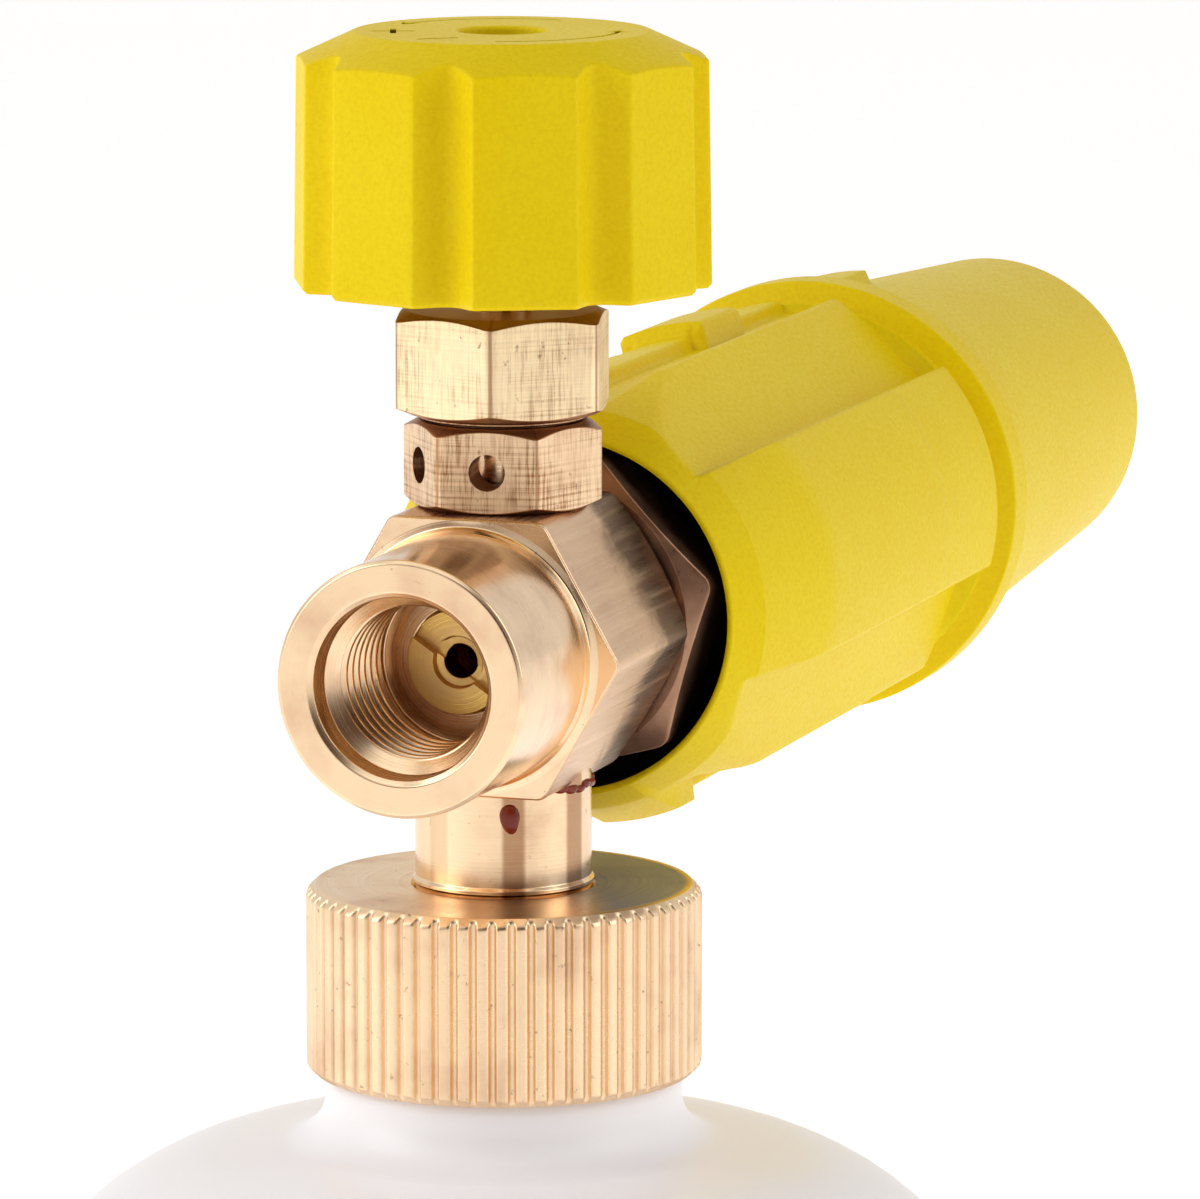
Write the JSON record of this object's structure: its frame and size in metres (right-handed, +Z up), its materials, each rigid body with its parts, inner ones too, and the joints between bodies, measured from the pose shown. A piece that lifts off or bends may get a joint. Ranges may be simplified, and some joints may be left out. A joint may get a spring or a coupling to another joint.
{
  "type": "snow foam lance",
  "caption": "Pressure-washer foam lance: brass injector head, yellow dosing knob, turning fan nozzle and a screw-on translucent detergent bottle.",
  "frame": {"origin": "centre of the bottle's base, on the face it stands on", "axes": "+Z up along the bottle and knob axis, +Y the way the nozzle sprays, inlet at -Y"},
  "size_m": [0.084, 0.1814, 0.2784],
  "materials": {
    "bottle_plastic": "milky translucent blow-moulded polyethylene",
    "seal_rubber": "smooth black nitrile",
    "brass": "bright turned and milled brass with tool marks",
    "jet_brass": "turned brass, slightly oxidised",
    "clear_tube": "clear soft plastic tube",
    "black_plastic": "moulded black plastic",
    "steel": "stainless steel",
    "steel_mesh": "packed stainless wire mesh",
    "yellow_plastic": "spark-eroded matt yellow moulded plastic"
  },
  "bodies": {
    "bottle": {"bottle": "bottle_plastic"},
    "gasket": {"bottle_gasket": "seal_rubber"},
    "head": {"stem": "brass", "pickup_tube": "clear_tube", "suction_strainer": "black_plastic", "injector_body": "brass", "inlet_jet": "jet_brass", "jet_oring": "seal_rubber", "valve_body": "brass", "gland_nut": "brass", "outlet_tube": "brass", "venturi_throat": "black_plastic", "mesh_washer": "steel", "mesh_pack": "steel_mesh", "mesh_clip": "steel", "sleeve_circlip": "steel", "nozzle_oring": "seal_rubber"},
    "cap": {"cap": "brass"},
    "spindle_seal": {"spindle_oring": "seal_rubber"},
    "knob": {"knob": "yellow_plastic", "knob_screw": "steel", "spindle": "steel"},
    "grip": {"grip_sleeve": "yellow_plastic", "nozzle_insert": "black_plastic", "jaw_pins": "steel"},
    "shroud": {"front_shroud": "yellow_plastic"},
    "upper_jaw": {"upper_jaw": "black_plastic"},
    "lower_jaw": {"lower_jaw": "black_plastic"}
  },
  "joints": [
    {"name": "head_lift", "type": "slide", "parent": "bottle", "child": "gasket", "axis": [0, 0, 1], "range_m": [0, 0.00635]},
    {"name": "head_swivel", "type": "hinge", "parent": "gasket", "child": "head", "pos_m": [0, 0, 0.2], "axis": [0, 0, 1], "continuous": true},
    {"name": "cap_turn", "type": "hinge", "parent": "gasket", "child": "cap", "pos_m": [0, 0, 0.2], "axis": [0, 0, 1], "range_deg": [0, 542]},
    {"name": "spindle_lift", "type": "slide", "parent": "head", "child": "spindle_seal", "axis": [0, 0, 1], "range_m": [-0.0015, 0.0015]},
    {"name": "knob_turn", "type": "hinge", "parent": "spindle_seal", "child": "knob", "pos_m": [0, 0, 0.23], "axis": [0, 0, 1], "range_deg": [-542, 542]},
    {"name": "nozzle_turn", "type": "hinge", "parent": "head", "child": "grip", "pos_m": [0, 0, 0.23], "axis": [0, 1, 0], "range_deg": [-90, 90]},
    {"name": "fan_adjust", "type": "hinge", "parent": "grip", "child": "shroud", "pos_m": [0, 0, 0.23], "axis": [0, 1, 0], "range_deg": [0, 90]},
    {"name": "upper_jaw_hinge", "type": "hinge", "parent": "grip", "child": "upper_jaw", "pos_m": [0, 0.099, 0.2356], "axis": [1, 0, 0], "range_deg": [-6, 0]},
    {"name": "lower_jaw_hinge", "type": "hinge", "parent": "grip", "child": "lower_jaw", "pos_m": [0, 0.099, 0.2244], "axis": [1, 0, 0], "range_deg": [0, 6]}
  ],
  "couplings": [
    {"joint": "cap_turn", "follows": "head_lift", "rad_per_m": 1484.2},
    {"joint": "knob_turn", "follows": "spindle_lift", "rad_per_m": 6283.2},
    {"joint": "upper_jaw_hinge", "follows": "fan_adjust", "ratio": -0.066667},
    {"joint": "lower_jaw_hinge", "follows": "fan_adjust", "ratio": 0.066667}
  ]
}
